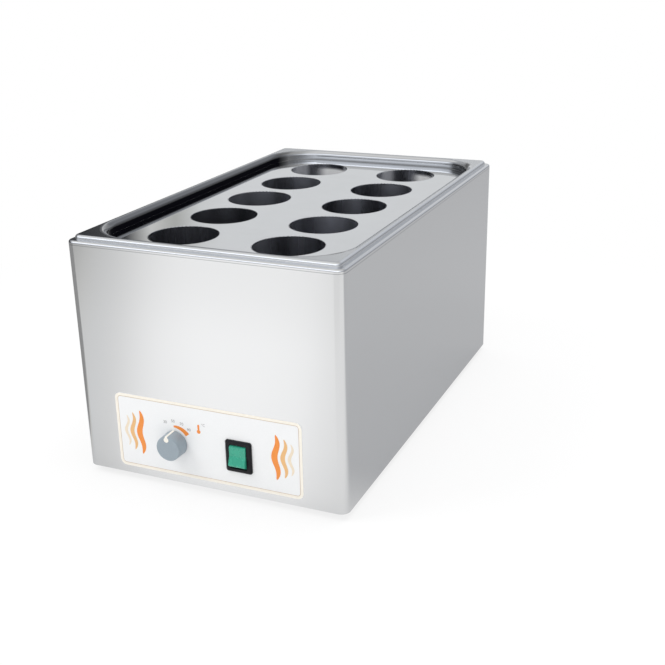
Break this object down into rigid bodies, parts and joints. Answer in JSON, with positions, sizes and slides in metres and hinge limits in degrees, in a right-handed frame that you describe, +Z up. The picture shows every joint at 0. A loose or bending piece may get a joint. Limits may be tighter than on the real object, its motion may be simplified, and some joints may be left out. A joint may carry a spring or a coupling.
{
  "type": "heated bottle warmer",
  "caption": "Table-top stainless bain-marie with a lift-out tray of round wells for topping bottles, a thermostat knob and a lit rocker switch on its front.",
  "frame": {"origin": "middle of the plan at the worktop, under the four feet", "axes": "+X to the right across the front, +Y from the front to the back, +Z up; the controls face -Y"},
  "size_m": [0.35, 0.6175, 0.3045],
  "materials": {
    "satin_stainless": "satin",
    "polished_stainless": "polished",
    "plain_stainless": "mill finish",
    "zinc_steel": "bright zinc",
    "galvanised_steel": "galvanised",
    "heater_alloy": "oxidised",
    "copper": "plain",
    "brass": "plain",
    "black_rubber": "matt",
    "mineral_wool": "fibrous",
    "phenolic": "moulded",
    "grey_plastic": "fine matt",
    "white_plastic": "inlaid",
    "black_plastic": "semi-gloss",
    "green_plastic": "translucent",
    "lamp_glass": "clear",
    "label_film": "printed film",
    "block_nylon": "moulded",
    "lead_brown": "extruded",
    "lead_blue": "extruded",
    "lead_green": "extruded"
  },
  "bodies": {
    "casing": {"outer_casing": "satin_stainless", "base_plate": "plain_stainless", "base_screws": "zinc_steel", "rubber_feet": "black_rubber", "foot_screws": "zinc_steel", "foot_nuts": "zinc_steel", "water_tank": "plain_stainless", "tank_studs": "zinc_steel", "stud_nuts": "zinc_steel", "heating_element": "heater_alloy", "element_pins": "zinc_steel", "clamp_plate": "galvanised_steel", "insulation_pad": "mineral_wool", "heater_cover": "galvanised_steel", "thermostat_body": "phenolic", "thermostat_nut": "zinc_steel", "thermostat_bulb": "copper", "switch_housing": "black_plastic", "switch_lamp": "lamp_glass", "front_label": "label_film", "safety_cutout": "phenolic", "terminal_block": "block_nylon", "terminal_screws": "brass", "block_fixings": "zinc_steel", "earth_stud": "zinc_steel", "earth_nuts": "zinc_steel", "cable_gland_body": "black_plastic", "cable_gland_locknut": "black_plastic", "cable_gland_cap": "black_plastic", "cable_gland_seal": "black_rubber", "lead_switch_live": "lead_brown", "lead_switch_neutral": "lead_blue", "lead_switch_thermostat": "lead_brown", "lead_thermostat_cutout": "lead_brown", "lead_cutout_element": "lead_brown", "lead_element_neutral": "lead_blue", "lead_earth": "lead_green"},
    "tray": {"bottle_tray": "polished_stainless", "bottle_well_01": "polished_stainless", "bottle_well_02": "polished_stainless", "bottle_well_03": "polished_stainless", "bottle_well_04": "polished_stainless", "bottle_well_05": "polished_stainless", "bottle_well_06": "polished_stainless", "bottle_well_07": "polished_stainless", "bottle_well_08": "polished_stainless", "bottle_well_09": "polished_stainless", "bottle_well_10": "polished_stainless"},
    "knob": {"control_knob": "grey_plastic", "knob_pointer": "white_plastic", "thermostat_shaft": "zinc_steel"},
    "rocker": {"switch_rocker": "green_plastic"}
  },
  "joints": [
    {"name": "tray_lift", "type": "slide", "parent": "casing", "child": "tray", "axis": [0, 0, 1], "range_m": [0, 0.175]},
    {"name": "knob_turn", "type": "hinge", "parent": "casing", "child": "knob", "pos_m": [-0.045, -0.29, 0.0615], "axis": [0, 1, 0], "range_deg": [-21, 48]},
    {"name": "rocker_press", "type": "hinge", "parent": "casing", "child": "rocker", "pos_m": [0.0405, -0.2868, 0.0593], "axis": [1, 0, 0], "range_deg": [0, 20]}
  ]
}
